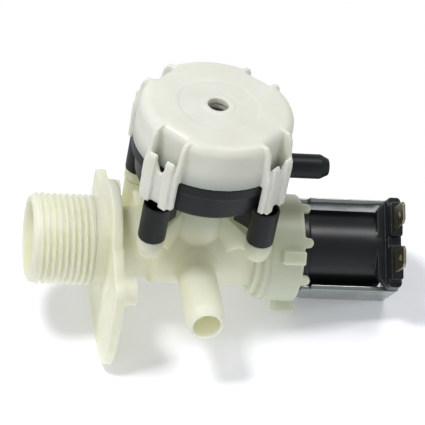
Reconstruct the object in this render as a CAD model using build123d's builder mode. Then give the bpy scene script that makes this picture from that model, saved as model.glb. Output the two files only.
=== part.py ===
from build123d import *
from math import cos, radians, sin
import os

# Inlet solenoid valve with a spring-loaded pressure regulator on top, millimetres.
# Frame: the inlet axis is X and points from the threaded mouth to the coil, +Z is up along the
# regulator's axis, the hose spigot points to -Y. The origin is the centre of the inlet thread
# at its first full crest.

os.makedirs("parts", exist_ok=True)

# ---- inlet thread, G3/4 male ----
THREAD_R = 13.22
THREAD_PITCH = 1.814
THREAD_DEPTH = 1.16
THREAD_LAND = 0.3
THREAD_TURNS = 8
MOUTH_X = -1.9
INLET_BORE_R = 10.6

# ---- mounting plate ----
PLATE_X = 20.1
PLATE_T = 3.0
SCREW_YS = (-24.2, 20.4)
SCREW_Z = 1.6
SCREW_HOLE_R = 1.4
BOSS_R = 4.0
BOSS_HEIGHT = 3.5

# ---- body ----
AXIS_X = 45.6
DISC_R = 17.7
DISC_FRONT_X = 19.8
DISC_BACK_X = 22.7
TUBE_R = 10.1
CHAMBER_R = 11.6
CUP_R = 15.6
CUP_BORE_R = 13.7
CUP_FLOOR_X = 67.0
RIM_X = 76.3
RISER_R = 9.4
RISER_TOP_Z = 24.0
SPIGOT_R = 5.6
SPIGOT_END_Y = -36.3

# ---- legs, ring and cap ----
LEG_PITCH = 31.2
LEG_R = 3.95
LEG_BOTTOM_Z = 15.2
LEG_TOP_Z = 26.8
LEG_BOSS_STEP = 3.4
LEG_BOSS_DEPTH = 6.2
LEG_BOSS_R = 3.3
LEG_SEAT_Z = 18.0
RING_BOTTOM_Z = 25.0
WEB_BOTTOM_Z = 17.6
RING_TOP_Z = 37.4
LIP_R = 22.2
LIP_BOTTOM_Z = 33.6
NIPPLE_Z = 30.3
NIPPLE_R = 3.55
NIPPLE_END_X = 81.0
COLLAR_R = 4.5
COLLAR_END_X = 68.5
CAP_TOP_Z = 50.8
CAP_R = 22.3
CAP_BORE_R = 19.6
CAP_HOLE_R = 3.0
CORNERS = (45, 135, 225, 315)

# ---- coil and yoke, turned about X so that the terminals point up to the front ----
COIL_TURN = 51.0
COIL_R = 11.3
YOKE_OUT = 13.6
YOKE_T = 1.4
YOKE_WIDTH = 15.0
YOKE_END_X = 106.0
GUIDE_R = 5.6
GUIDE_BORE_R = 4.7

# Coil frame: local x runs along the inlet axis, local y along the yoke's height, local z
# towards the tips of the terminals.
TERMINAL_DIR = Vector(0, -cos(radians(COIL_TURN)), sin(radians(COIL_TURN)))
COIL_PLANE = Plane(origin=(0, 0, 0), x_dir=(1, 0, 0), z_dir=TERMINAL_DIR)


def save(part, label):
    """Label a finished piece and write its STEP file."""
    part.label = label
    export_step(part, f"parts/{label}.step")


def corner_plane(angle):
    """Vertical plane through the regulator's axis and a leg: local x is the radius, local y is Z."""
    out = Vector(cos(radians(angle)), sin(radians(angle)), 0)
    return Plane(origin=(AXIS_X, 0, 0), x_dir=out, z_dir=out.cross(Vector(0, 0, 1)))


def radial_face(angle, radius):
    """Upright plane facing away from the regulator's axis: local x is sideways, local y is Z."""
    out = Vector(cos(radians(angle)), sin(radians(angle)), 0)
    return Plane(origin=Vector(AXIS_X, 0, 0) + out * radius, x_dir=Vector(0, 0, 1).cross(out), z_dir=out)


# ================= valve body =================
OUTLINE = [
    (MOUTH_X, 0), (MOUTH_X, 11.9), (MOUTH_X + 0.7, 12.5), (-THREAD_LAND / 2, THREAD_R),
    (15.0, THREAD_R), (15.4, 12.9), (DISC_FRONT_X, 12.9), (DISC_FRONT_X, DISC_R),
    (DISC_BACK_X, DISC_R), (DISC_BACK_X, TUBE_R),
    (32.6, TUBE_R), (33.9, CHAMBER_R), (62.8, CHAMBER_R), (62.8, 13.6), (64.6, 13.6),
    (65.2, 15.2), (66.8, 15.2), (67.2, CUP_R), (RIM_X, CUP_R), (RIM_X, 0),
]
WATERWAY = [
    (MOUTH_X, 0), (MOUTH_X, INLET_BORE_R + 0.3), (MOUTH_X + 0.3, INLET_BORE_R), (8.0, INLET_BORE_R),
    (8.0, 9.6), (17.5, 9.6), (17.5, 6.6), (21.0, 6.6), (21.0, 5.0), (25.0, 5.0), (25.0, 7.8),
    (30.0, 7.8), (30.0, 0),
]
ANNULUS = [
    (54.0, 6.3), (54.0, 9.8), (CUP_FLOOR_X, 9.8), (CUP_FLOOR_X, CUP_BORE_R), (RIM_X, CUP_BORE_R),
    (RIM_X, 0), (CUP_FLOOR_X - 0.05, 0), (CUP_FLOOR_X - 0.05, 5.3), (CUP_FLOOR_X - 1.2, 6.3),
]
# half of the mounting plate as (y, z), from the bottom edge up; the other half mirrors it
PLATE = [(20.2, -27.3), (26.4, -24.2), (28.8, -17.6), (28.8, 5.0), (22.0, 5.8), (15.0, 9.4)]
SEAT_BORE_R = 4.4
RISER_BORE_R = 4.6
RISER_SOCKET_R = 7.2
RISER_SOCKET_Z = 16.5
SPIGOT_BORE_R = 3.9
DUCT_R = 2.2
DUCT_OFFSET = 7.6
TONGUE_ANGLES = (0, 45, 90, 180, 225, 270)
LUGS = ((30, -3.5), (297, -1.9))

with BuildPart() as valve_body:
    with BuildSketch(Plane.XZ):
        with BuildLine():
            Polyline(*OUTLINE, close=True)
        make_face()
    revolve(axis=Axis.X)
    # V grooves that leave narrow crests at the thread's outer radius
    with BuildSketch(Plane.XZ):
        for turn in range(THREAD_TURNS):
            middle = (turn + 0.5) * THREAD_PITCH
            half = (THREAD_PITCH - THREAD_LAND) / 2
            with BuildLine():
                Polyline(
                    (middle - half, THREAD_R), (middle - 0.15, THREAD_R - THREAD_DEPTH),
                    (middle + 0.15, THREAD_R - THREAD_DEPTH), (middle + half, THREAD_R),
                    (middle + half, THREAD_R + 1), (middle - half, THREAD_R + 1), close=True,
                )
            make_face()
    revolve(axis=Axis.X, mode=Mode.SUBTRACT)
    # mounting plate with two screw bosses
    with BuildSketch(Plane.YZ.offset(PLATE_X)):
        with BuildLine():
            mirrored = [(-y, z) for y, z in reversed(PLATE)]
            FilletPolyline(*PLATE, *mirrored, radius=3.5, close=True)
        make_face()
    extrude(amount=PLATE_T)
    with BuildSketch(Plane.YZ.offset(PLATE_X + PLATE_T)):
        with Locations(*[(y, SCREW_Z) for y in SCREW_YS]):
            Circle(BOSS_R)
    extrude(amount=BOSS_HEIGHT, taper=2)
    # riser and spigot
    with BuildSketch(Plane.XY):
        with Locations((AXIS_X, 0)):
            Circle(RISER_R)
    extrude(amount=RISER_TOP_Z)
    with BuildSketch(Plane.XZ):
        with Locations((AXIS_X, 0)):
            Circle(SPIGOT_R)
    extrude(amount=-SPIGOT_END_Y)
    tip = valve_body.edges().filter_by(GeomType.CIRCLE).sort_by(Axis.Y)[0]
    chamfer(tip, length=3.2, length2=1.0)
    # smooth swelling where the spigot leaves the chamber
    with BuildSketch(Plane.XZ.offset(9.0)):
        with Locations((AXIS_X, 0)):
            Circle(SPIGOT_R + 1.6)
    extrude(amount=4.4, taper=20)
    # four screw bosses, each on a fin that runs to the riser
    with BuildSketch(Plane.XY.offset(LEG_BOTTOM_Z)):
        with Locations((AXIS_X, 0)):
            with GridLocations(LEG_PITCH, LEG_PITCH, 2, 2):
                Circle(LEG_R - 0.1)
    extrude(amount=-LEG_BOSS_STEP)
    with BuildSketch(Plane.XY.offset(LEG_BOTTOM_Z)):
        with Locations((AXIS_X, 0)):
            with GridLocations(LEG_PITCH, LEG_PITCH, 2, 2):
                Circle(LEG_BOSS_R)
    extrude(amount=-LEG_BOSS_DEPTH)
    rounded = valve_body.edges().filter_by(GeomType.CIRCLE).filter_by(
        lambda edge: abs(edge.center().Z - (LEG_BOTTOM_Z - LEG_BOSS_DEPTH)) < 0.01
        and abs(abs(edge.center().Y) - LEG_PITCH / 2) < 0.01
    )
    fillet(rounded, 1.3)
    for angle in CORNERS:
        with BuildSketch(corner_plane(angle)):
            with BuildLine():
                Polyline((7.0, 2.0), (7.0, 18.4), (9.5, 17.6), (17.4, 14.9), (22.0, 14.9),
                         (22.0, 10.6), (17.0, 9.6), (12.5, 5.0), (10.0, 2.0), close=True)
            make_face()
        extrude(amount=1.2, both=True)
    # the two bosses behind stand on columns that reach down to the chamber
    with BuildSketch(Plane.XY.offset(LEG_BOTTOM_Z - 4.0)):
        with Locations((AXIS_X - LEG_PITCH / 2, LEG_PITCH / 2), (AXIS_X + LEG_PITCH / 2, LEG_PITCH / 2)):
            Circle(LEG_R - 0.4)
    extrude(amount=-11.0, taper=1.5)
    for x in (AXIS_X - LEG_PITCH / 2, AXIS_X + LEG_PITCH / 2):
        with BuildSketch(Plane.YZ.offset(x)):
            with BuildLine():
                Polyline((6.0, 9.0), (LEG_PITCH / 2, 9.0), (LEG_PITCH / 2, 0.4), (6.0, 0.4), close=True)
            make_face()
        extrude(amount=1.1, both=True)
    # rounded tongues and square lugs round the rim of the cup
    for angle in TONGUE_ANGLES:
        turned = Plane(
            origin=(RIM_X, 0, 0), x_dir=(1, 0, 0),
            z_dir=(0, -cos(radians(angle)), sin(radians(angle))),
        )
        with BuildSketch(turned.offset(CUP_BORE_R + 0.05)):
            with Locations((-0.5, 0)):
                Rectangle(2.2, 2.9)
            with Locations((0.3, 0)):
                SlotOverall(4.4, 2.9)
        extrude(amount=CUP_R - CUP_BORE_R - 0.2)
    for angle, along in LUGS:
        turned = Plane(
            origin=(RIM_X, 0, 0), x_dir=(1, 0, 0),
            z_dir=(0, -cos(radians(angle)), sin(radians(angle))),
        )
        with BuildSketch(turned.offset(CUP_R - 1.0)):
            with Locations((along, 0)):
                RectangleRounded(6.4, 3.9, 0.4)
        extrude(amount=4.4)
    # waterways: inlet, two ducts to the annulus, seat bore, riser bores, spigot bore
    with BuildSketch(Plane.XZ):
        with BuildLine():
            Polyline(*WATERWAY, close=True)
        make_face()
    revolve(axis=Axis.X, mode=Mode.SUBTRACT)
    with BuildSketch(Plane.XZ):
        with BuildLine():
            Polyline(*ANNULUS, close=True)
        make_face()
    revolve(axis=Axis.X, mode=Mode.SUBTRACT)
    with BuildSketch(Plane.YZ.offset(29.0)):
        with Locations((DUCT_OFFSET, 0), (0, -DUCT_OFFSET)):
            Circle(DUCT_R)
    extrude(amount=26.0, mode=Mode.SUBTRACT)
    with BuildSketch(Plane.YZ.offset(AXIS_X)):
        Circle(SEAT_BORE_R)
    extrude(amount=CUP_FLOOR_X - AXIS_X, mode=Mode.SUBTRACT)
    with BuildSketch(Plane.XY.offset(-SEAT_BORE_R)):
        with Locations((AXIS_X, 0)):
            Circle(RISER_BORE_R)
    extrude(amount=RISER_TOP_Z + SEAT_BORE_R, mode=Mode.SUBTRACT)
    with BuildSketch(Plane.XY.offset(RISER_SOCKET_Z)):
        with Locations((AXIS_X, 0)):
            Circle(RISER_SOCKET_R)
    extrude(amount=RISER_TOP_Z - RISER_SOCKET_Z, mode=Mode.SUBTRACT)
    with BuildSketch(Plane.XZ):
        with Locations((AXIS_X, 0)):
            Circle(SPIGOT_BORE_R)
    extrude(amount=-SPIGOT_END_Y, mode=Mode.SUBTRACT)
    # pilot holes for the leg screws and for the two mounting screws
    with BuildSketch(Plane.XY.offset(LEG_BOTTOM_Z)):
        with Locations((AXIS_X, 0)):
            with GridLocations(LEG_PITCH, LEG_PITCH, 2, 2):
                Circle(1.35)
    extrude(amount=-4.4, mode=Mode.SUBTRACT)
    with BuildSketch(Plane.YZ.offset(PLATE_X)):
        with Locations(*[(y, SCREW_Z) for y in SCREW_YS]):
            Circle(SCREW_HOLE_R)
    extrude(amount=PLATE_T + BOSS_HEIGHT - 0.9, mode=Mode.SUBTRACT)
save(valve_body.part, "valve_body")


# ================= inlet strainer and flow washer =================
with BuildPart() as inlet_filter:
    with BuildSketch(Plane.XZ):
        with BuildLine():
            Polyline((6.9, 8.6), (6.9, 10.5), (7.9, 10.5), (7.9, 9.4), (8.6, 9.2), (16.4, 6.4),
                     (17.2, 5.4), (17.2, 0), (16.6, 0), (16.6, 5.0), (15.9, 5.8), (8.4, 8.6), close=True)
        make_face()
    revolve(axis=Axis.X)
    with BuildSketch(Plane.XY):
        for row in range(5):
            with Locations((9.4 + row * 1.35, 0)):
                Rectangle(0.85, 24)
    extrude(amount=1.6, both=True, mode=Mode.SUBTRACT)
save(inlet_filter.part, "inlet_filter")

with BuildPart() as flow_washer:
    with BuildSketch(Plane.YZ.offset(17.6)):
        Circle(6.5)
        Circle(2.1, mode=Mode.SUBTRACT)
    extrude(amount=3.3)
    chamfer(flow_washer.edges().filter_by(GeomType.CIRCLE).group_by(Axis.X)[0].sort_by(SortBy.RADIUS)[0], 0.9)
save(flow_washer.part, "flow_washer")


# ================= servo valve on the inlet axis =================
with BuildPart() as main_diaphragm:
    with BuildSketch(Plane.XZ):
        with BuildLine():
            Polyline((67.0, 2.7), (67.0, 7.0), (67.4, 7.4), (66.7, 8.4), (66.7, 9.3), (67.0, 9.7),
                     (67.0, 13.6), (69.0, 13.6), (69.0, 10.4), (68.0, 10.4), (67.3, 9.2), (67.3, 8.6),
                     (68.0, 7.4), (68.6, 6.6), (68.6, 2.7), close=True)
        make_face()
    revolve(axis=Axis.X)
save(main_diaphragm.part, "main_diaphragm")

with BuildPart() as diaphragm_insert:
    with BuildSketch(Plane.XZ):
        with BuildLine():
            Polyline((62.6, 0.5), (62.6, 2.4), (65.4, 2.6), (65.6, 4.0), (66.9, 4.0), (66.9, 2.6),
                     (68.7, 2.6), (68.7, 6.6), (69.8, 6.6), (70.2, 2.6), (71.4, 1.5), (72.0, 1.2),
                     (72.0, 0.5), close=True)
        make_face()
    revolve(axis=Axis.X)
    with BuildSketch(Plane.YZ.offset(62.6)):
        with PolarLocations(0, 4):
            with Locations((2.9, 0)):
                Rectangle(2.4, 0.7)
    extrude(amount=3.2)
save(diaphragm_insert.part, "diaphragm_insert")

with BuildPart() as guide_tube:
    with BuildSketch(Plane.XZ):
        with BuildLine():
            Polyline((69.0, 8.6), (69.0, 13.6), (71.6, 13.6), (71.6, 9.8), (74.0, 9.4), (74.6, 8.6),
                     (74.6, GUIDE_R), (103.4, GUIDE_R), (104.0, 5.0), (104.0, 0), (103.0, 0),
                     (103.0, GUIDE_BORE_R), (73.4, GUIDE_BORE_R), (73.4, 8.6), close=True)
        make_face()
    revolve(axis=Axis.X)
save(guide_tube.part, "guide_tube")

with BuildPart() as plunger:
    with BuildSketch(Plane.XZ):
        with BuildLine():
            Polyline((72.35, 2.1), (72.35, 2.8), (73.0, 3.2), (75.0, 3.2), (75.6, 4.64), (93.7, 4.64),
                     (94.0, 4.3), (94.0, 3.9), (88.0, 3.9), (88.0, 0), (73.6, 0), (73.6, 2.1), close=True)
        make_face()
    revolve(axis=Axis.X)
    # two flats let water pass along the plunger
    with BuildSketch(Plane.YZ.offset(75.0)):
        with Locations((0, 4.8), (0, -4.8)):
            Rectangle(8, 0.8)
    extrude(amount=20, mode=Mode.SUBTRACT)
save(plunger.part, "plunger")

with BuildPart() as plunger_seal:
    with BuildSketch(Plane.YZ.offset(72.05)):
        Circle(2.05)
    extrude(amount=1.5)
    chamfer(plunger_seal.edges().filter_by(GeomType.CIRCLE).sort_by(Axis.X)[0], 0.25)
save(plunger_seal.part, "plunger_seal")

PLUNGER_SPRING = {"r": 3.2, "wire": 0.35, "pitch": 2.1, "x": 88.4, "end": 102.6}
with BuildPart() as plunger_spring:
    with BuildLine() as plunger_helix:
        Helix(
            PLUNGER_SPRING["pitch"], PLUNGER_SPRING["end"] - PLUNGER_SPRING["x"],
            PLUNGER_SPRING["r"], center=(PLUNGER_SPRING["x"], 0, 0), direction=(1, 0, 0),
        )
    with BuildSketch(plunger_helix.line ^ 0):
        Circle(PLUNGER_SPRING["wire"])
    sweep(is_frenet=True)
save(plunger_spring.part, "plunger_spring")


# ================= coil, from the inside out =================
with BuildPart() as pole_washer:
    with BuildSketch(Plane.YZ.offset(78.7)):
        Circle(10.5)
        Circle(5.9, mode=Mode.SUBTRACT)
    extrude(amount=1.5)
save(pole_washer.part, "pole_washer")

with BuildPart() as pole_sleeve:
    with BuildSketch(Plane.YZ.offset(84.0)):
        Circle(6.75)
        Circle(GUIDE_R + 0.1, mode=Mode.SUBTRACT)
    extrude(amount=21.9)
save(pole_sleeve.part, "pole_sleeve")

with BuildPart() as bobbin:
    with BuildSketch(Plane.XZ):
        with BuildLine():
            Polyline((80.3, 6.85), (80.3, 10.5), (81.4, 10.5), (81.4, 7.8), (98.4, 7.8), (98.4, 10.5),
                     (99.5, 10.5), (99.5, 6.85), close=True)
        make_face()
    revolve(axis=Axis.X)
save(bobbin.part, "bobbin")

with BuildPart() as winding:
    with BuildSketch(Plane.YZ.offset(81.5)):
        Circle(10.2)
        Circle(7.9, mode=Mode.SUBTRACT)
    extrude(amount=16.8)
save(winding.part, "winding")

SPADE_SPACING = 12.8
SPADE_X = 102.8
SPADE_T = 0.8
SPADE_LENGTH = 16.8
SPADE_HALF_WIDTH = 3.15
SPADE_HOLE_FROM_TIP = 3.3
NECK_OFFSET = 8.2
POLE_BORE_R = 6.85
with BuildPart() as coil_shell:
    with BuildSketch(Plane.XZ):
        with BuildLine():
            Polyline((74.9, 6.0), (74.9, 13.6), (78.2, 13.6), (78.6, 13.2), (78.6, COIL_R),
                     (100.9, COIL_R), (101.4, 10.8), (101.4, 6.85), (99.6, 6.85), (99.6, 10.6),
                     (78.6, 10.6), (78.6, 6.0), close=True)
        make_face()
    revolve(axis=Axis.X)
    # neck on the terminal side, then the terminal block with its two pads
    with BuildSketch(COIL_PLANE.offset(NECK_OFFSET)):
        with BuildLine():
            Polyline((98.8, -9.6), (101.4, -12.8), (104.4, -12.8), (104.4, 12.8), (101.4, 12.8),
                     (98.8, 9.6), close=True)
        make_face()
    extrude(amount=3.0)
    # room inside the neck for the bobbin's end flange
    with BuildSketch(Plane.YZ.offset(98.0)):
        Circle(10.6)
    extrude(amount=1.6, mode=Mode.SUBTRACT)
    with BuildSketch(COIL_PLANE.offset(7.7)):
        with Locations((103.0, 0)):
            Rectangle(3.0, 21.0)
    extrude(amount=4.0)
    with BuildSketch(COIL_PLANE.offset(NECK_OFFSET)):
        with Locations((103.4, 0)):
            RectangleRounded(4.0, 26.6, 1.2)
    extrude(amount=5.0)
    with BuildSketch(COIL_PLANE.offset(12.0)):
        with Locations((103.4, SPADE_SPACING / 2), (103.4, -SPADE_SPACING / 2)):
            RectangleRounded(3.6, 10.2, 0.9)
    extrude(amount=3.8)
    with BuildSketch(COIL_PLANE.offset(9.0)):
        with Locations((SPADE_X, SPADE_SPACING / 2), (SPADE_X, -SPADE_SPACING / 2)):
            Rectangle(SPADE_T, 2 * SPADE_HALF_WIDTH)
    extrude(amount=8.0, mode=Mode.SUBTRACT)
    # the flange makes room for the ends of the yoke's legs
    with BuildSketch(COIL_PLANE.offset(-7.7)):
        with Locations((78.8, 13.0), (78.8, -13.0)):
            Rectangle(4.2, 2.0)
    extrude(amount=15.4, mode=Mode.SUBTRACT)
    with BuildSketch(Plane.YZ.offset(99.0)):
        Circle(POLE_BORE_R)
    extrude(amount=10.0, mode=Mode.SUBTRACT)
save(coil_shell.part, "coil_shell")

for name, side in (("spade_terminal_upper", 1), ("spade_terminal_lower", -1)):
    with BuildPart() as spade:
        blade = Plane(
            origin=COIL_PLANE.from_local_coords((SPADE_X, side * SPADE_SPACING / 2, 9.0)),
            x_dir=COIL_PLANE.y_dir, z_dir=(-1, 0, 0),
        )
        tip_sign = 1 if blade.y_dir.dot(TERMINAL_DIR) > 0 else -1
        with BuildSketch(blade):
            with BuildLine():
                Polyline(
                    (-SPADE_HALF_WIDTH, 0), (-SPADE_HALF_WIDTH, tip_sign * (SPADE_LENGTH - 1.2)),
                    (-2.2, tip_sign * SPADE_LENGTH), (2.2, tip_sign * SPADE_LENGTH),
                    (SPADE_HALF_WIDTH, tip_sign * (SPADE_LENGTH - 1.2)), (SPADE_HALF_WIDTH, 0), close=True,
                )
            make_face()
            with Locations((0, tip_sign * (SPADE_LENGTH - SPADE_HOLE_FROM_TIP))):
                Circle(0.85, mode=Mode.SUBTRACT)
        extrude(amount=SPADE_T / 2, both=True)
    save(spade.part, name)

with BuildPart() as yoke:
    half_width = YOKE_WIDTH / 2
    with BuildSketch(COIL_PLANE.offset(-half_width)):
        with BuildLine():
            FilletPolyline((76.9, YOKE_OUT), (YOKE_END_X, YOKE_OUT), (YOKE_END_X, -YOKE_OUT),
                           (76.9, -YOKE_OUT), radius=1.2)
            FilletPolyline((76.9, YOKE_OUT - YOKE_T), (YOKE_END_X - YOKE_T, YOKE_OUT - YOKE_T),
                           (YOKE_END_X - YOKE_T, YOKE_T - YOKE_OUT), (76.9, YOKE_T - YOKE_OUT), radius=0.3)
            Line((76.9, YOKE_OUT), (76.9, YOKE_OUT - YOKE_T))
            Line((76.9, -YOKE_OUT), (76.9, YOKE_T - YOKE_OUT))
        make_face()
    extrude(amount=YOKE_WIDTH)
    with BuildSketch(Plane.YZ.offset(YOKE_END_X - 3)):
        Circle(POLE_BORE_R)
    extrude(amount=5, mode=Mode.SUBTRACT)
    # the legs' ends are narrower where they pass between the tongues of the cup
    for side in (-1, 1):
        with BuildSketch(COIL_PLANE.offset(side * 5.8)):
            with Locations((77.8, 0)):
                Rectangle(3.8, 30)
        extrude(amount=side * 3, mode=Mode.SUBTRACT)
save(yoke.part, "yoke")


# ================= regulator =================
with BuildPart() as riser_seal:
    with BuildSketch(Plane.XY.offset(RISER_TOP_Z)):
        with Locations((AXIS_X, 0)):
            Circle(9.2)
            Circle(7.4, mode=Mode.SUBTRACT)
    extrude(amount=RING_BOTTOM_Z - RISER_TOP_Z)
save(riser_seal.part, "riser_seal")

with BuildPart() as regulator_seat:
    with BuildSketch(Plane.XZ):
        with BuildLine():
            Polyline((AXIS_X + 3.0, 16.6), (AXIS_X + 3.6, 16.6), (AXIS_X + 4.2, 17.4),
                     (AXIS_X + 7.1, 17.4), (AXIS_X + 7.1, 24.6), (AXIS_X + 5.4, 24.6),
                     (AXIS_X + 5.4, 19.0), (AXIS_X + 3.0, 19.0), close=True)
        make_face()
    revolve(axis=Axis((AXIS_X, 0, 0), (0, 0, 1)))
save(regulator_seat.part, "regulator_seat")

with BuildPart() as regulator_ring:
    with BuildSketch(Plane.XZ):
        with BuildLine():
            Polyline((AXIS_X + 5.8, RING_BOTTOM_Z), (AXIS_X + 18.8, RING_BOTTOM_Z),
                     (AXIS_X + 20.0, RING_BOTTOM_Z + 1.2), (AXIS_X + 20.9, LIP_BOTTOM_Z),
                     (AXIS_X + 21.8, LIP_BOTTOM_Z), (AXIS_X + LIP_R, LIP_BOTTOM_Z + 0.4),
                     (AXIS_X + LIP_R, RING_TOP_Z), (AXIS_X + 20.1, RING_TOP_Z), (AXIS_X + 20.1, 36.0),
                     (AXIS_X + 17.5, 36.0), (AXIS_X + 17.5, 27.4), (AXIS_X + 5.8, 27.4), close=True)
        make_face()
    revolve(axis=Axis((AXIS_X, 0, 0), (0, 0, 1)))
    # legs on radial webs
    with BuildSketch(Plane.XY.offset(LEG_BOTTOM_Z)):
        with Locations((AXIS_X, 0)):
            with GridLocations(LEG_PITCH, LEG_PITCH, 2, 2):
                Circle(LEG_R)
    extrude(amount=LEG_TOP_Z - LEG_BOTTOM_Z)
    for angle in CORNERS:
        with BuildSketch(corner_plane(angle)):
            with BuildLine():
                Polyline((12.8, 25.4), (12.8, WEB_BOTTOM_Z), (20.0, WEB_BOTTOM_Z), (20.0, 25.4), close=True)
            make_face()
        extrude(amount=1.2, both=True)
    # nipple with its chamfered tip and the collar at its root
    with BuildSketch(Plane.YZ.offset(AXIS_X + 18.5)):
        with Locations((0, NIPPLE_Z)):
            Circle(NIPPLE_R)
    extrude(amount=NIPPLE_END_X - AXIS_X - 18.5)
    with BuildSketch(Plane.YZ.offset(AXIS_X + 18.5)):
        with Locations((0, NIPPLE_Z)):
            Circle(COLLAR_R)
    extrude(amount=COLLAR_END_X - AXIS_X - 18.5)
    chamfer(regulator_ring.edges().filter_by(GeomType.CIRCLE).sort_by(Axis.X)[-1], length=2.4, length2=1.2)
    with BuildSketch(Plane.YZ.offset(AXIS_X + 16)):
        with Locations((0, NIPPLE_Z)):
            Circle(1.9)
    extrude(amount=NIPPLE_END_X - AXIS_X - 16, mode=Mode.SUBTRACT)
    # stepped holes for the leg screws
    with BuildSketch(Plane.XY.offset(LEG_BOTTOM_Z)):
        with Locations((AXIS_X, 0)):
            with GridLocations(LEG_PITCH, LEG_PITCH, 2, 2):
                Circle(1.6)
    extrude(amount=20, mode=Mode.SUBTRACT)
    with BuildSketch(Plane.XY.offset(LEG_SEAT_Z)):
        with Locations((AXIS_X, 0)):
            with GridLocations(LEG_PITCH, LEG_PITCH, 2, 2):
                Circle(3.1)
    extrude(amount=20, mode=Mode.SUBTRACT)
save(regulator_ring.part, "regulator_ring")

with BuildPart() as leg_screws:
    with BuildSketch(Plane.XY.offset(LEG_SEAT_Z)):
        with Locations((AXIS_X, 0)):
            with GridLocations(LEG_PITCH, LEG_PITCH, 2, 2):
                Circle(2.8)
    extrude(amount=1.9)
    fillet(leg_screws.edges().filter_by(GeomType.CIRCLE).group_by(Axis.Z)[-1], 0.7)
    with BuildSketch(Plane.XY.offset(LEG_SEAT_Z)):
        with Locations((AXIS_X, 0)):
            with GridLocations(LEG_PITCH, LEG_PITCH, 2, 2):
                Circle(1.3)
    extrude(amount=-6.8)
    with BuildSketch(Plane.XY.offset(LEG_SEAT_Z + 2.0)):
        with Locations((AXIS_X, 0)):
            with GridLocations(LEG_PITCH, LEG_PITCH, 2, 2):
                Rectangle(3.0, 0.7)
                Rectangle(0.7, 3.0)
    extrude(amount=-1.3, mode=Mode.SUBTRACT)
save(leg_screws.part, "leg_screws")

with BuildPart() as regulator_diaphragm:
    with BuildSketch(Plane.XZ):
        with BuildLine():
            Polyline((AXIS_X + 1.4, 34.9), (AXIS_X + 12.0, 34.9), (AXIS_X + 13.0, 34.0),
                     (AXIS_X + 16.2, 34.0), (AXIS_X + 17.0, 36.0), (AXIS_X + 20.0, 36.0),
                     (AXIS_X + 20.0, 37.2), (AXIS_X + 16.6, 37.2), (AXIS_X + 15.7, 34.9),
                     (AXIS_X + 13.5, 34.9), (AXIS_X + 12.6, 35.9), (AXIS_X + 1.4, 35.9), close=True)
        make_face()
    revolve(axis=Axis((AXIS_X, 0, 0), (0, 0, 1)))
save(regulator_diaphragm.part, "regulator_diaphragm")

with BuildPart() as piston_plate:
    with BuildSketch(Plane.XZ):
        with BuildLine():
            Polyline((AXIS_X + 1.4, 36.0), (AXIS_X + 12.0, 36.0), (AXIS_X + 12.0, 37.4),
                     (AXIS_X + 7.0, 37.4), (AXIS_X + 6.4, 39.6), (AXIS_X + 5.4, 39.6),
                     (AXIS_X + 5.4, 37.4), (AXIS_X + 1.4, 37.4), close=True)
        make_face()
    revolve(axis=Axis((AXIS_X, 0, 0), (0, 0, 1)))
save(piston_plate.part, "piston_plate")

POPPET_TOP_Z = 14.2
with BuildPart() as regulator_stem:
    with BuildSketch(Plane.XZ):
        with BuildLine():
            Polyline((AXIS_X, 11.0), (AXIS_X + 3.6, 11.0), (AXIS_X + 3.6, 12.4), (AXIS_X + 1.3, 12.4),
                     (AXIS_X + 1.3, 33.6), (AXIS_X + 3.2, 33.6), (AXIS_X + 3.2, 34.8),
                     (AXIS_X + 1.3, 34.8), (AXIS_X + 1.3, 37.5), (AXIS_X + 2.4, 37.5),
                     (AXIS_X + 2.4, 38.2), (AXIS_X, 38.2), close=True)
        make_face()
    revolve(axis=Axis((AXIS_X, 0, 0), (0, 0, 1)))
save(regulator_stem.part, "regulator_stem")

with BuildPart() as poppet_seal:
    with BuildSketch(Plane.XY.offset(12.45)):
        with Locations((AXIS_X, 0)):
            Circle(4.1)
            Circle(1.35, mode=Mode.SUBTRACT)
    extrude(amount=POPPET_TOP_Z - 12.45)
save(poppet_seal.part, "poppet_seal")

REGULATOR_SPRING = {"r": 8.3, "wire": 0.75, "pitch": 2.3, "z": 38.3, "end": 46.5}
with BuildPart() as regulator_spring:
    with BuildLine() as regulator_helix:
        Helix(
            REGULATOR_SPRING["pitch"], REGULATOR_SPRING["end"] - REGULATOR_SPRING["z"],
            REGULATOR_SPRING["r"], center=(AXIS_X, 0, REGULATOR_SPRING["z"]),
        )
    with BuildSketch(regulator_helix.line ^ 0):
        Circle(REGULATOR_SPRING["wire"])
    sweep(is_frenet=True)
save(regulator_spring.part, "regulator_spring")

with BuildPart() as spring_seat:
    with BuildSketch(Plane.XZ):
        with BuildLine():
            Polyline((AXIS_X + 3.2, 48.5), (AXIS_X + 10.4, 48.5), (AXIS_X + 10.4, 47.3),
                     (AXIS_X + 6.9, 47.3), (AXIS_X + 6.4, 45.2), (AXIS_X + 5.4, 45.2),
                     (AXIS_X + 5.4, 47.3), (AXIS_X + 3.2, 47.3), close=True)
        make_face()
    revolve(axis=Axis((AXIS_X, 0, 0), (0, 0, 1)))
save(spring_seat.part, "spring_seat")


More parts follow.
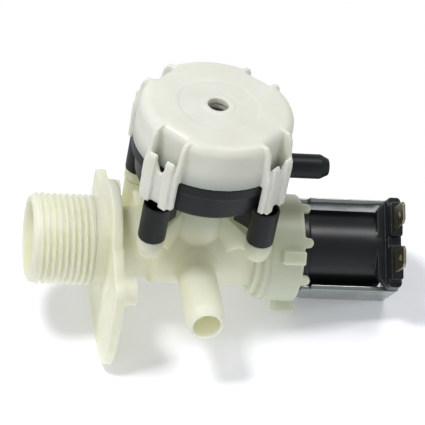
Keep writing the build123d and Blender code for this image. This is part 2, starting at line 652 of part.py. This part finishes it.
# ================= regulator cap =================
RECESS_R = 19.9
SKIRT_BOTTOM_Z = 28.2
PRONG_OFFSET = 3.0
NOTCH_Z = 38.6
RECESS_ROUNDING = 2.6
RIB_OFFSET = 5.1
RIB_OUTER_R = 24.1
with BuildPart() as regulator_cap:
    with BuildSketch(Plane.XZ):
        with BuildLine():
            Line((AXIS_X, RING_TOP_Z), (AXIS_X + CAP_R, RING_TOP_Z))
            Line((AXIS_X + CAP_R, RING_TOP_Z), (AXIS_X + CAP_R - 0.4, CAP_TOP_Z - 3.2))
            RadiusArc((AXIS_X + CAP_R - 0.4, CAP_TOP_Z - 3.2), (AXIS_X + CAP_R - 3.5, CAP_TOP_Z), -3.1)
            Line((AXIS_X + CAP_R - 3.5, CAP_TOP_Z), (AXIS_X, CAP_TOP_Z))
            Line((AXIS_X, CAP_TOP_Z), (AXIS_X, RING_TOP_Z))
        make_face()
    revolve(axis=Axis((AXIS_X, 0, 0), (0, 0, 1)))
    for angle in CORNERS:
        radial = corner_plane(angle)
        # flat recess between two ribs, rounded over into the top face
        with BuildSketch(radial):
            with BuildLine():
                Line((RECESS_R, RING_TOP_Z), (RECESS_R, CAP_TOP_Z - RECESS_ROUNDING))
                RadiusArc((RECESS_R, CAP_TOP_Z - RECESS_ROUNDING),
                          (RECESS_R - RECESS_ROUNDING, CAP_TOP_Z), -RECESS_ROUNDING)
                Polyline((RECESS_R - RECESS_ROUNDING, CAP_TOP_Z), (RECESS_R - RECESS_ROUNDING, CAP_TOP_Z + 1),
                         (RECESS_R + 6, CAP_TOP_Z + 1), (RECESS_R + 6, RING_TOP_Z), (RECESS_R, RING_TOP_Z))
            make_face()
        extrude(amount=RIB_OFFSET, both=True, mode=Mode.SUBTRACT)
        # the ribs run from the top edge down past the ring
        for side in (-1, 1):
            with BuildSketch(radial.offset(side * RIB_OFFSET)):
                with BuildLine():
                    Polyline((18.8, RING_TOP_Z), (22.4, RING_TOP_Z), (22.4, SKIRT_BOTTOM_Z + 0.6),
                             (RIB_OUTER_R, SKIRT_BOTTOM_Z + 0.6), (RIB_OUTER_R + 0.1, 40.4), (23.1, 44.0),
                             (22.6, 48.2), (21.4, 50.2), (18.8, CAP_TOP_Z - 0.1), close=True)
                make_face()
            extrude(amount=0.7, both=True)
            # rounded prongs
            with BuildSketch(radial.offset(side * PRONG_OFFSET)):
                with BuildLine():
                    Polyline((23.1, SKIRT_BOTTOM_Z), (25.0, SKIRT_BOTTOM_Z), (24.8, 43.0),
                             (24.3, 44.0), (23.7, 44.0), (23.3, 43.0), close=True)
                make_face()
            extrude(amount=1.3, both=True)
        # web of the skirt, notched between the prongs
        with BuildSketch(Plane.XY.offset(SKIRT_BOTTOM_Z + 0.4)):
            with Locations(Location((AXIS_X, 0, 0), (0, 0, angle))):
                with Locations((23.5, 0)):
                    Rectangle(1.2, 2 * RIB_OFFSET)
        extrude(amount=NOTCH_Z - SKIRT_BOTTOM_Z - 0.4)
        # the notch narrows downwards
        with BuildSketch(radial_face(angle, 22.9)):
            with BuildLine():
                Polyline((-2.0, NOTCH_Z - 0.2), (2.0, NOTCH_Z - 0.2), (2.0, NOTCH_Z + 3.4), (0.4, NOTCH_Z),
                         (-0.4, NOTCH_Z), (-2.0, NOTCH_Z + 3.4), close=True)
            make_face()
        extrude(amount=1.2)
    # hollow inside, with flats behind the recesses, and a lip that clamps the diaphragm
    with BuildSketch(Plane.XY.offset(38.6)):
        with Locations((AXIS_X, 0)):
            Circle(CAP_BORE_R)
        for angle in CORNERS:
            with Locations(Location((AXIS_X, 0, 0), (0, 0, angle))):
                with Locations((20.0, 0)):
                    Rectangle(4.2, 16, mode=Mode.SUBTRACT)
    extrude(amount=10.0, mode=Mode.SUBTRACT)
    with BuildSketch(Plane.XY.offset(RING_TOP_Z - 0.2)):
        with Locations((AXIS_X, 0)):
            Circle(19.9)
    extrude(amount=0.4)
    with BuildSketch(Plane.XY.offset(RING_TOP_Z - 0.2)):
        with Locations((AXIS_X, 0)):
            Circle(17.6)
    extrude(amount=1.6, mode=Mode.SUBTRACT)
    with BuildSketch(Plane.XY.offset(45)):
        with Locations((AXIS_X, 0)):
            Circle(CAP_HOLE_R)
    extrude(amount=8, mode=Mode.SUBTRACT)
    # shallow step on the top face
    with BuildSketch(Plane.XY.offset(CAP_TOP_Z)):
        with Locations((AXIS_X, 0)):
            Circle(11.6)
            Circle(4.6, mode=Mode.SUBTRACT)
    extrude(amount=-0.25, mode=Mode.SUBTRACT)
save(regulator_cap.part, "regulator_cap")
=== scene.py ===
"""Inlet solenoid valve with a regulator on top: the looks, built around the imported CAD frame."""

import math

import bmesh
import bpy
import numpy as np
from mathutils import Matrix, Vector


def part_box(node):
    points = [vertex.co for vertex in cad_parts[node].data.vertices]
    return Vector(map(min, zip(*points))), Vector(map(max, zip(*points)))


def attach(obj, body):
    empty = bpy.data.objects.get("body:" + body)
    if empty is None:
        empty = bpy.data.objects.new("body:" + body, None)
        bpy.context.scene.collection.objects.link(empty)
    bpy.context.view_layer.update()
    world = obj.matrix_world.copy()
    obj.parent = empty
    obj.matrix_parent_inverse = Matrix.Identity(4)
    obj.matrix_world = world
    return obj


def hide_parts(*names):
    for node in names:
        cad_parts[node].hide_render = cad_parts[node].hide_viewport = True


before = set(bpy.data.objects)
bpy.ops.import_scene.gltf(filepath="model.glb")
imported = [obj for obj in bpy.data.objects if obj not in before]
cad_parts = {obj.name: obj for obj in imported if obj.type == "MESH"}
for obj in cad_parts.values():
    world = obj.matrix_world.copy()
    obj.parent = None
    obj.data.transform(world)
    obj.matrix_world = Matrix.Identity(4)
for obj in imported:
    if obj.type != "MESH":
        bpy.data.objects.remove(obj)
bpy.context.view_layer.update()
MM = 0.001
SAME_POINT = 0.001 * MM


# ---------------------------------------------------------------- valve body
# One injection moulding in natural polyamide: threaded inlet, mounting plate, chamber, riser,
# hose spigot and the cup that takes the coil. The mould leaves small radii on every edge and a
# fine satin skin, and the thin cream walls let some light through. Shade is painted in where dark
# parts lie behind the walls, and a faint warm glow is painted in all over.

BODY_CREAM = "E8E9DA"
BODY_SHADE = "DFE0CA"
# Painted shade: the cool grey-green mixed into the cup and riser where dark parts lie behind the wall.
BODY_PAINTED_SHADE = "BCC5B5"
CUT_X = 16.0 * MM
THREAD_CREST = 13.22 * MM
THREAD_PITCH = 1.814 * MM
THREAD_DEPTH = 1.1 * MM
THREAD_END = 15.2 * MM
THREAD_START_ANGLE = math.radians(51)
CREST_SHARE = 0.12
FLANK_SHARE = 0.78
FLANK_ROUNDING = 0.06
SHANK_R = 12.9 * MM
BORE_R = 10.6 * MM
THROAT_R = 9.62 * MM


def linear(code):
    """Turns an sRGB hex colour into the linear RGBA that a shader socket holds."""
    srgb = np.array([int(code[i:i + 2], 16) for i in (0, 2, 4)]) / 255
    low = srgb / 12.92
    high = ((srgb + 0.055) / 1.055) ** 2.4
    return tuple(np.where(srgb <= 0.04045, low, high)) + (1.0,)


def add_node(material, kind, inputs=None, **settings):
    """Adds a node of that kind, sets its properties, and fills its inputs with values or links."""
    node = material.node_tree.nodes.new(kind)
    for key, value in settings.items():
        setattr(node, key, value)
    for key, value in (inputs or {}).items():
        if isinstance(value, bpy.types.NodeSocket):
            material.node_tree.links.new(value, node.inputs[key])
        else:
            node.inputs[key].default_value = value
    return node


def empty_material(name):
    """An empty material with only the object's own coordinates, to draw patterns on."""
    material = bpy.data.materials.new(name)
    material.use_nodes = True
    material.node_tree.nodes.clear()
    place = add_node(material, "ShaderNodeTexCoord").outputs["Object"]
    return material, place


def finish_material(material, shader):
    """Links the shader to the material's output."""
    add_node(material, "ShaderNodeOutputMaterial", {"Surface": shader.outputs[0]})
    return material


def moulded_plastic(
    name, base, shade, roughness, grain_mm, grain_depth_mm,
    depth_mm=0.0, glow=0.0, painted_shade_mask=None, painted_shade_colour=None, gloss=0.5, inner=0.0,
):
    """Injection-moulded plastic: cloudy colour a centimetre wide, a spark-eroded grain, soft gloss.

    depth_mm is how far light travels inside it, and glow the share of light that does.
    painted_shade_mask makes a mask from the material and its coordinates, where
    painted_shade_colour is painted in: painted shade for dark parts behind a thin wall. gloss
    is the surface's reflection, and inner the strength of a painted warm glow, an emission that
    stands in for light shining through from the far side.
    """
    material, place = empty_material(name)
    clouds = add_node(
        material, "ShaderNodeTexNoise",
        {"Vector": place, "Scale": 1 / (14 * MM), "Detail": 3.0},
    )
    spread = add_node(
        material, "ShaderNodeMapRange",
        {"Value": clouds.outputs["Fac"], "From Min": 0.35, "From Max": 0.7},
    )
    colour = add_node(
        material, "ShaderNodeMix",
        {"Factor": spread.outputs["Result"], 6: linear(base), 7: linear(shade)}, data_type="RGBA",
    )
    # Painted shade: where the mask is up, a cool darker colour is mixed in for the dark parts seen through a
    # thin wall.
    if painted_shade_mask:
        colour = add_node(
            material, "ShaderNodeMix",
            {"Factor": painted_shade_mask(material, place), 6: colour.outputs[2], 7: linear(painted_shade_colour)}, data_type="RGBA",
        )
    grain = add_node(
        material, "ShaderNodeTexNoise", {"Vector": place, "Scale": 1 / (grain_mm * MM), "Detail": 2.0}
    )
    sheen = add_node(
        material, "ShaderNodeMapRange",
        {"Value": clouds.outputs["Fac"], "To Min": roughness - 0.05, "To Max": roughness + 0.05},
    )
    bump = add_node(
        material, "ShaderNodeBump",
        {"Height": grain.outputs["Fac"], "Distance": grain_depth_mm * MM, "Strength": 1.0},
    )
    # The warm emission of strength inner is a painted glow: it is no lamp, it stands in for light shining
    # through thin walls and lifts the shaded parts.
    shader = add_node(
        material, "ShaderNodeBsdfPrincipled",
        {
            "Base Color": colour.outputs[2], "Roughness": sheen.outputs["Result"], "IOR": 1.5,
            "Normal": bump.outputs["Normal"], "Subsurface Weight": glow,
            "Subsurface Radius": (1.0, 0.96, 0.82), "Subsurface Scale": depth_mm * MM,
            "Specular IOR Level": gloss, "Emission Strength": inner,
            "Emission Color": linear("F6F2B0"),
        },
    )
    return finish_material(material, shader)


def new_piece(name, mesh, material, body="valve"):
    """Puts a mesh into the scene at the origin, smooth, with its material, riding on a body."""
    piece = bpy.data.objects.new(name, mesh)
    bpy.context.scene.collection.objects.link(piece)
    mesh.materials.clear()
    mesh.materials.append(material)
    mesh.polygons.foreach_set("use_smooth", np.ones(len(mesh.polygons), bool))
    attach(piece, body)
    return piece


def moulded_copy(node, voxel_mm, passes, most_faces=90000, cut=None):
    """The skin of a CAD node with the small radii that a mould leaves on its edges.

    The loose triangles are merged, rebuilt as an even grid of voxel_mm, relaxed, and thinned
    to most_faces triangles where they are more. cut drops what lies before that x.
    """
    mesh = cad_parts[node].data.copy()
    work = bmesh.new()
    work.from_mesh(mesh)
    bmesh.ops.remove_doubles(work, verts=work.verts, dist=SAME_POINT)
    if cut is not None:
        geometry = work.verts[:] + work.edges[:] + work.faces[:]
        bmesh.ops.bisect_plane(
            work, geom=geometry, dist=SAME_POINT / 10,
            plane_co=(cut, 0, 0), plane_no=(1, 0, 0), clear_inner=True,
        )
        rim = [edge for edge in work.edges if edge.is_boundary]
        bmesh.ops.triangle_fill(work, edges=rim, use_beauty=False)
        bmesh.ops.recalc_face_normals(work, faces=work.faces)
    work.to_mesh(mesh)
    work.free()
    rough = bpy.data.objects.new("rough", mesh)
    bpy.context.scene.collection.objects.link(rough)
    remesh = rough.modifiers.new("even grid", "REMESH")
    remesh.mode = "VOXEL"
    remesh.voxel_size = voxel_mm * MM
    relax = rough.modifiers.new("relax", "SMOOTH")
    relax.factor = 0.5
    relax.iterations = passes
    count = len(evaluated(rough).polygons) * 2
    if count > most_faces:
        thin = rough.modifiers.new("thin", "DECIMATE")
        thin.ratio = most_faces / count
    result = evaluated(rough)
    bpy.data.objects.remove(rough)
    return result


def evaluated(piece):
    """The piece's mesh with its modifiers applied."""
    bpy.context.view_layer.update()
    seen = piece.evaluated_get(bpy.context.evaluated_depsgraph_get())
    return bpy.data.meshes.new_from_object(seen)


def mesh_from_grid(name, points):
    """A closed skin from a grid of points: rows close into rings, and the rings close into a tube.

    points has the shape (rings, points per ring, 3); each cell becomes one four-sided face.
    """
    rings, around = points.shape[:2]
    row = np.arange(rings)[:, None]
    column = np.arange(around)[None, :]
    next_row = (row + 1) % rings
    next_column = (column + 1) % around
    faces = np.stack(
        [row * around + column, row * around + next_column,
         next_row * around + next_column, next_row * around + column], axis=-1,
    ).reshape(-1, 4)
    mesh = bpy.data.meshes.new(name)
    mesh.from_pydata(points.reshape(-1, 3).tolist(), [], faces.tolist())
    work = bmesh.new()
    work.from_mesh(mesh)
    bmesh.ops.recalc_face_normals(work, faces=work.faces)
    work.to_mesh(mesh)
    work.free()
    return mesh


def inlet_stub():
    """The mouth, the bore and the helical thread as one profile turned about X.

    The profile runs out of the bore, round the mouth and back along the outside. Outside, the
    radius is the crest less the thread's depth times a rounded zigzag of (x / pitch - angle / turn),
    and the depth fades in at the mouth and out before the shank.
    """
    angle = np.linspace(0, 2 * np.pi, 240, endpoint=False)
    stub_end = CUT_X + 0.2 * MM
    outside_x = np.append(np.linspace(-1.2, 15.6, 168) * MM, [15.9 * MM, stub_end])
    bore, throat = BORE_R / MM, THROAT_R / MM
    inner = np.array([
        (stub_end / MM, throat), (8.05, throat), (8.0, 9.7), (8.0, 10.5), (7.95, bore),
        (4.0, bore), (0.0, bore), (-1.4, bore), (-1.65, 10.66), (-1.82, 10.82), (-1.9, 11.05),
        (-1.9, 11.7), (-1.84, 11.98), (-1.66, 12.2), (-1.45, 12.36),
    ]) * MM
    x = np.concatenate([inner[:, 0], outside_x])
    plain = np.interp(
        outside_x / MM, [-1.2, -0.1, THREAD_END / MM, 15.7, 20],
        np.array([12.5 * MM, THREAD_CREST, THREAD_CREST, SHANK_R, SHANK_R - 0.02 * MM]),
    )
    base = np.concatenate([inner[:, 1], plain])
    phase = x[:, None] / THREAD_PITCH - (angle[None, :] - THREAD_START_ANGLE) / (2 * np.pi)
    from_crest = np.abs(phase - np.round(phase)) * 2
    zigzag = np.clip((from_crest - CREST_SHARE) / FLANK_SHARE, 0, 1)
    zigzag = zigzag - FLANK_ROUNDING * np.sin(zigzag * 2 * np.pi)
    fade = np.interp(x / MM, [-0.9, 0.7, THREAD_END / MM - 0.6, 15.6], [0, 1, 1, 0])
    fade[: len(inner)] = 0
    radius = base[:, None] - THREAD_DEPTH * zigzag * fade[:, None]
    radius[-1] = 12.6 * MM
    points = np.stack(
        [np.broadcast_to(x[:, None], radius.shape), radius * np.cos(angle), radius * np.sin(angle)], axis=-1
    )
    return mesh_from_grid("inlet_stub", points)


def painted_shade_of_rubber_and_coil(material, place):
    """Mask of painted shade over the cup and, higher up, the riser, where black rubber and the coil's foot
    lie behind the thin wall.
    """
    axes = add_node(material, "ShaderNodeSeparateXYZ", {"Vector": place})
    cup = add_node(
        material, "ShaderNodeMapRange",
        {"Value": axes.outputs["X"], "From Min": 58 * MM, "From Max": 67 * MM, "To Max": 0.85},
        interpolation_type="SMOOTHSTEP",
    )
    high = add_node(
        material, "ShaderNodeMapRange",
        {"Value": axes.outputs["Z"], "From Min": 8 * MM, "From Max": 17 * MM, "To Max": 0.95},
        interpolation_type="SMOOTHSTEP",
    )
    past_plate = add_node(
        material, "ShaderNodeMapRange",
        {"Value": axes.outputs["X"], "From Min": 25 * MM, "From Max": 32 * MM},
        interpolation_type="SMOOTHSTEP",
    )
    riser = add_node(
        material, "ShaderNodeMath",
        {0: high.outputs["Result"], 1: past_plate.outputs["Result"]}, operation="MULTIPLY",
    )
    both = add_node(
        material, "ShaderNodeMath", {0: cup.outputs["Result"], 1: riser.outputs[0]}, operation="MAXIMUM"
    )
    return both.outputs[0]


# The body gets painted shade in cool grey-green on the cup and riser, and an even painted warm glow.
polyamide = moulded_plastic(
    "natural_polyamide", BODY_CREAM, BODY_SHADE, roughness=0.42, grain_mm=0.5, grain_depth_mm=0.004,
    depth_mm=4.5, glow=1.0, painted_shade_mask=painted_shade_of_rubber_and_coil, painted_shade_colour=BODY_PAINTED_SHADE, inner=0.06,
)
stub = new_piece("inlet_thread_helix", inlet_stub(), polyamide)
body = new_piece(
    "valve_body_moulding", moulded_copy("valve_body", 0.28, 3, most_faces=180000, cut=CUT_X), polyamide
)
for piece in (stub, body):
    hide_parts("valve_body")


# ---------------------------------------------------------------- regulator ring
# Glass-filled nylon, charcoal, with its hose nipple and the four hollow legs that the screws
# pass through. The skin is satin with a fine even grain.

charcoal_nylon = moulded_plastic(
    "charcoal_nylon", "171E20", "121719", roughness=0.42, grain_mm=0.4, grain_depth_mm=0.006, gloss=0.32
)
ring = new_piece("regulator_ring_moulding", moulded_copy("regulator_ring", 0.25, 3), charcoal_nylon)
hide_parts("regulator_ring")


# ---------------------------------------------------------------- regulator cap
# Natural polypropylene, milky white. It is pressed over the ring, its ribs run down beside the
# screws, and the vent of the spring chamber is in the middle.

RISER_AXIS = Vector((45.6, 0, 0)) * MM
CAP_WALL_R = 22.3 * MM


def painted_shade_of_ring(material, place):
    """Mask of painted shade at the foot of the cap's wall, where the dark ring lies behind it."""
    from_axis = add_node(material, "ShaderNodeMapping", {"Vector": place, "Location": -RISER_AXIS})
    flat = add_node(
        material, "ShaderNodeVectorMath",
        {0: from_axis.outputs["Vector"], 1: (1.0, 1.0, 0.0)}, operation="MULTIPLY",
    )
    radius = add_node(material, "ShaderNodeVectorMath", {0: flat.outputs["Vector"]}, operation="LENGTH")
    wall = add_node(
        material, "ShaderNodeMapRange",
        {"Value": radius.outputs["Value"], "From Min": CAP_WALL_R + 0.1 * MM,
         "From Max": CAP_WALL_R + 0.4 * MM, "To Min": 1.0, "To Max": 0.0},
        interpolation_type="SMOOTHSTEP",
    )
    height = add_node(material, "ShaderNodeSeparateXYZ", {"Vector": place}).outputs["Z"]
    low = add_node(
        material, "ShaderNodeMapRange",
        {"Value": height, "From Min": 36.5 * MM, "From Max": 43.5 * MM, "To Min": 0.8, "To Max": 0.0},
        interpolation_type="SMOOTHSTEP",
    )
    both = add_node(
        material, "ShaderNodeMath",
        {0: wall.outputs["Result"], 1: low.outputs["Result"]}, operation="MULTIPLY",
    )
    return both.outputs[0]


# Painted shade: grey-green at the foot of the cap's wall, over the dark ring.
milky_polypropylene = moulded_plastic(
    "milky_polypropylene", "ECEDE3", "E3E4D7", roughness=0.36, grain_mm=0.6, grain_depth_mm=0.003,
    depth_mm=3.0, glow=0.7, painted_shade_mask=painted_shade_of_ring, painted_shade_colour="A3B1AB",
)
cap = new_piece(
    "regulator_cap_moulding", moulded_copy("regulator_cap", 0.26, 4, most_faces=150000), milky_polypropylene
)
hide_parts("regulator_cap")


# ---------------------------------------------------------------- coil overmould
# Black glass-filled polyester moulded round the winding, with the terminal block in one piece.
# It is smoother than the ring and takes a soft long highlight.

coil_black = moulded_plastic(
    "coil_polyester", "14191C", "0F1315", roughness=0.34, grain_mm=0.5, grain_depth_mm=0.004
)
coil = new_piece("coil_overmould", moulded_copy("coil_shell", 0.22, 3), coil_black)
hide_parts("coil_shell")


# ---------------------------------------------------------------- yoke and steel pieces
# The yoke is stamped sheet steel, bright zinc plated: a cool metal with soft cloudy gloss and
# faint lines along the strip. Plunger, sleeves, screws and springs are plain steel.


def drawn_metal(name, colour, tint, roughness, line_mm, line_depth_mm):
    """Plated or turned metal: clouds of tint over the colour, and fine lines along X."""
    material, place = empty_material(name)
    clouds = add_node(material, "ShaderNodeTexNoise", {"Vector": place, "Scale": 1 / (5 * MM), "Detail": 4.0})
    stretched = add_node(material, "ShaderNodeMapping", {"Vector": place, "Scale": (0.03, 1.0, 1.0)})
    lines = add_node(
        material, "ShaderNodeTexNoise",
        {"Vector": stretched.outputs["Vector"], "Scale": 1 / (line_mm * MM), "Detail": 2.0},
    )
    blend = add_node(
        material, "ShaderNodeMix",
        {"Factor": clouds.outputs["Fac"], 6: linear(colour), 7: linear(tint)}, data_type="RGBA",
    )
    polish = add_node(
        material, "ShaderNodeMapRange",
        {"Value": clouds.outputs["Fac"], "To Min": roughness - 0.08, "To Max": roughness + 0.1},
    )
    bump = add_node(
        material, "ShaderNodeBump",
        {"Height": lines.outputs["Fac"], "Distance": line_depth_mm * MM, "Strength": 1.0},
    )
    shader = add_node(
        material, "ShaderNodeBsdfPrincipled",
        {
            "Base Color": blend.outputs[2], "Metallic": 1.0, "Roughness": polish.outputs["Result"],
            "Normal": bump.outputs["Normal"],
        },
    )
    return finish_material(material, shader)


bright_zinc = drawn_metal(
    "bright_zinc_plate", "B9C1BE", "8E9997", roughness=0.3, line_mm=0.3, line_depth_mm=0.004
)
yoke = new_piece("yoke_strip", moulded_copy("yoke", 0.2, 2), bright_zinc)
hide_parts("yoke")


# ---------------------------------------------------------------- spade terminals
# Two 6.3 mm tabs, stamped from brass and tinned: pale gold where the tin is thin.

tinned_brass = drawn_metal(
    "tinned_brass", "B4AC98", "8F866C", roughness=0.34, line_mm=0.25, line_depth_mm=0.003
)
for side in ("upper", "lower"):
    spade = new_piece(f"spade_tab_{side}", moulded_copy(f"spade_terminal_{side}", 0.13, 2), tinned_brass)
    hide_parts(f"spade_terminal_{side}")


# ---------------------------------------------------------------- pieces inside
# Strainer, washers, diaphragms, plunger, coil insides, seats, springs and screws keep the CAD
# shape and take the finish of what they are made of.

rubber = moulded_plastic("black_rubber", "1D1D1F", "242426", 0.72, 0.3, 0.006)
white_acetal = moulded_plastic("white_acetal", "EDEBE2", "E2DFD2", 0.4, 0.4, 0.003, 2.0, 0.2)
bobbin_nylon = moulded_plastic("bobbin_nylon", "D8CFB0", "C9BE9A", 0.5, 0.4, 0.004)
turned_steel = drawn_metal("turned_steel", "B9BBBD", "9C9EA0", 0.28, 0.1, 0.003)
spring_wire = drawn_metal("spring_wire", "C4C6C8", "A6A8AA", 0.25, 0.1, 0.002)


COPPER_WIRE = 0.3 * MM


def copper_turns():
    """Enamelled copper wire: one band for each turn, a wire wide, raised in the middle."""
    material, place = empty_material("enamelled_copper")
    turns = add_node(
        material, "ShaderNodeTexWave",
        {"Vector": place, "Scale": 2 * math.pi / (20 * COPPER_WIRE), "Distortion": 0.0},
        wave_type="BANDS", bands_direction="X",
    )
    bump = add_node(
        material, "ShaderNodeBump", {"Height": turns.outputs["Fac"], "Distance": 0.1 * MM, "Strength": 1.0}
    )
    shader = add_node(
        material, "ShaderNodeBsdfPrincipled",
        {
            "Base Color": linear("B4572A"), "Metallic": 1.0, "Roughness": 0.3,
            "Coat Weight": 0.5, "Normal": bump.outputs["Normal"],
        },
    )
    return finish_material(material, shader)


INSIDE = {
    rubber: (
        "flow_washer", "main_diaphragm", "plunger_seal", "riser_seal", "regulator_diaphragm", "poppet_seal",
    ),
    white_acetal: (
        "inlet_filter", "diaphragm_insert", "regulator_seat", "piston_plate", "regulator_stem", "spring_seat",
    ),
    polyamide: ("guide_tube",),
    bobbin_nylon: ("bobbin",),
    turned_steel: ("plunger", "pole_washer", "pole_sleeve", "leg_screws"),
    spring_wire: ("plunger_spring", "regulator_spring"),
    copper_turns(): ("winding",),
}
for material, names in INSIDE.items():
    for name in names:
        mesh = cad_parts[name].data
        mesh.materials.clear()
        mesh.materials.append(material)


# ---------------------------------------------------------------- studio
# The valve lies on its plate's lower edge and on the yoke's end, so the floor is tilted to it.
# The surround is white, with two soft lamps above, the stronger one from the left, and a weak
# large one low in front.

PLATE_FOOT_X = 23.1 * MM
PLATE_FOOT_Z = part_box("valve_body")[0].z
YOKE_END_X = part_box("yoke")[1].x
FLOOR_RISE = (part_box("yoke")[0].z - PLATE_FOOT_Z) / (YOKE_END_X - PLATE_FOOT_X)
FLOOR_MIDDLE = Vector((52.0, -4.0, 0)) * MM
FLOOR_R = 96 * MM


def pale_floor():
    """A disc that fades out towards its edge, so that low views look under no horizon."""
    rings = np.linspace(0.02, 1, 24) * FLOOR_R
    angle = np.linspace(0, 2 * np.pi, 96, endpoint=False)
    x = FLOOR_MIDDLE.x + rings[:, None] * np.cos(angle)
    y = FLOOR_MIDDLE.y + rings[:, None] * np.sin(angle)
    z = PLATE_FOOT_Z - 0.05 * MM + (x - PLATE_FOOT_X) * FLOOR_RISE
    points = np.stack([x, y, z], axis=-1)
    row = np.arange(len(rings) - 1)[:, None]
    column = np.arange(len(angle))[None, :]
    next_column = (column + 1) % len(angle)
    count = len(angle)
    faces = np.stack(
        [row * count + column, (row + 1) * count + column, (row + 1) * count + next_column,
         row * count + next_column], axis=-1,
    ).reshape(-1, 4).tolist() + [list(range(count))]
    mesh = bpy.data.meshes.new("floor")
    mesh.from_pydata(points.reshape(-1, 3).tolist(), [], faces)
    return mesh


def paper_white():
    """Matt white paper, clear at the rim of the disc."""
    material, place = empty_material("paper_floor")
    centred = add_node(
        material, "ShaderNodeMapping", {"Vector": place, "Location": (-FLOOR_MIDDLE.x, -FLOOR_MIDDLE.y, 0)}
    )
    flat = add_node(
        material, "ShaderNodeVectorMath",
        {0: centred.outputs["Vector"], 1: (1.0, 1.0, 0.0)}, operation="MULTIPLY",
    )
    away = add_node(material, "ShaderNodeVectorMath", {0: flat.outputs["Vector"]}, operation="LENGTH")
    fade = add_node(
        material, "ShaderNodeMapRange",
        {"Value": away.outputs["Value"], "From Min": 0.7 * FLOOR_R, "From Max": 0.98 * FLOOR_R},
        interpolation_type="SMOOTHSTEP",
    )
    paper = add_node(
        material, "ShaderNodeBsdfPrincipled",
        {"Base Color": linear("F7F8FF"), "Roughness": 0.9, "Specular IOR Level": 0.0,
         "Emission Color": linear("FFFFFF"), "Emission Strength": 0.2},
    )
    clear = add_node(material, "ShaderNodeBsdfTransparent")
    mixed = add_node(
        material, "ShaderNodeMixShader",
        {0: fade.outputs["Result"], 1: paper.outputs[0], 2: clear.outputs[0]},
    )
    return finish_material(material, mixed)


floor = bpy.data.objects.new("floor", pale_floor())
bpy.context.scene.collection.objects.link(floor)
floor.data.materials.append(paper_white())

world = bpy.data.worlds.new("white_surround")
world.use_nodes = True
world.node_tree.nodes.clear()
direction = add_node(world, "ShaderNodeTexCoord").outputs["Generated"]
height = add_node(world, "ShaderNodeSeparateXYZ", {"Vector": direction}).outputs["Z"]
brightness = add_node(
    world, "ShaderNodeMapRange",
    {"Value": height, "From Min": 0.0, "From Max": 0.6, "To Min": 0.66, "To Max": 0.3},
)
lighting = add_node(
    world, "ShaderNodeBackground", {"Color": linear("FFFFFF"), "Strength": brightness.outputs["Result"]}
)
backdrop = add_node(world, "ShaderNodeBackground", {"Color": linear("FFFFFF")})
seen_directly = add_node(world, "ShaderNodeLightPath").outputs["Is Camera Ray"]
surround = add_node(
    world, "ShaderNodeMixShader", {0: seen_directly, 1: lighting.outputs[0], 2: backdrop.outputs[0]}
)
add_node(world, "ShaderNodeOutputWorld", {"Surface": surround.outputs[0]})
bpy.context.scene.world = world


def softbox(name, position, size, power):
    """A square area light that faces the middle of the valve: metres and watts."""
    light = bpy.data.lights.new(name, "AREA")
    light.size = size
    light.energy = power
    lamp = bpy.data.objects.new(name, light)
    middle = Vector((52.0, 0, 8.0)) * MM
    lamp.location = Vector(position)
    lamp.rotation_euler = (Vector(position) - middle).to_track_quat("Z", "Y").to_euler()
    bpy.context.scene.collection.objects.link(lamp)


softbox("upper_left", (-0.29, -0.06, 0.62), 0.15, 2.5)
softbox("upper_right", (0.24, 0.04, 0.64), 0.18, 0.95)
softbox("front_fill", (-0.3, -0.65, 0.2), 0.5, 0.15)

CAMERA_YAW = math.radians(-15.14)
CAMERA_RISE = math.radians(37.8)
CAMERA_ROLL = math.radians(11.69)
CAMERA_AWAY = 0.8
CAMERA_LENS = 233.6
CAMERA_AIM = (6.47 * MM, 9.07 * MM)
back = Vector((
    math.sin(CAMERA_YAW) * math.cos(CAMERA_RISE),
    -math.cos(CAMERA_YAW) * math.cos(CAMERA_RISE),
    math.sin(CAMERA_RISE),
))
level = Vector((math.cos(CAMERA_YAW), math.sin(CAMERA_YAW), 0))
rise = back.cross(level)
right = level * math.cos(CAMERA_ROLL) + rise * math.sin(CAMERA_ROLL)
up = rise * math.cos(CAMERA_ROLL) - level * math.sin(CAMERA_ROLL)
camera = bpy.data.objects.new("camera", bpy.data.cameras.new("camera"))
camera.data.lens = CAMERA_LENS
camera.data.sensor_width = 36
turn = Matrix((right, up, back)).transposed().to_4x4()
eye = RISER_AXIS + right * CAMERA_AIM[0] + up * CAMERA_AIM[1] + back * CAMERA_AWAY
camera.matrix_world = Matrix.Translation(eye) @ turn
bpy.context.scene.collection.objects.link(camera)
bpy.context.scene.camera = camera
bpy.context.scene.view_settings.view_transform = "Standard"
